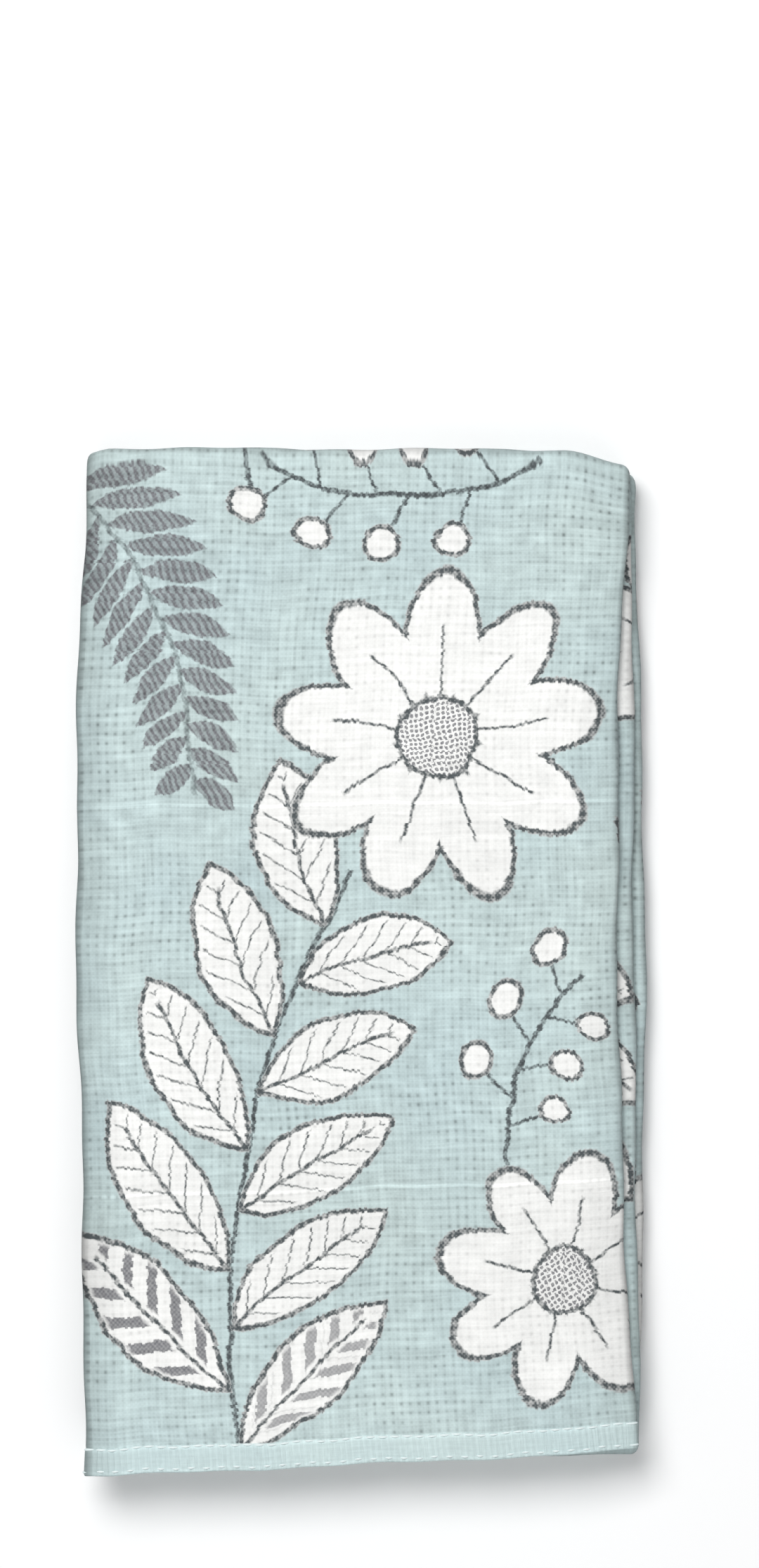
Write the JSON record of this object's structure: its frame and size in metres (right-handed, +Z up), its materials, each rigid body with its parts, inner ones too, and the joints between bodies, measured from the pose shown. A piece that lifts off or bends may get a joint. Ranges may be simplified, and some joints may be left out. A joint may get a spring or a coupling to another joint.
{
  "type": "folded hand towel",
  "caption": "Printed open-weave cotton and linen hand towel, folded in thirds across its width and back and forth along its length, lying flat with its printed face up.",
  "frame": {"origin": "middle of the underside, on the surface that the towel rests on", "axes": "+Z up out of the printed face, +Y along the folded towel's length towards its two top folds, +X to the right of the printed face"},
  "size_m": [0.12, 0.2158, 0.0179],
  "materials": {
    "printed_cloth": "matt open plain weave of cotton with linen, pale aqua ground with a white and charcoal print"
  },
  "bodies": {
    "root": {"towel": "printed_cloth"}
  },
  "joints": []
}
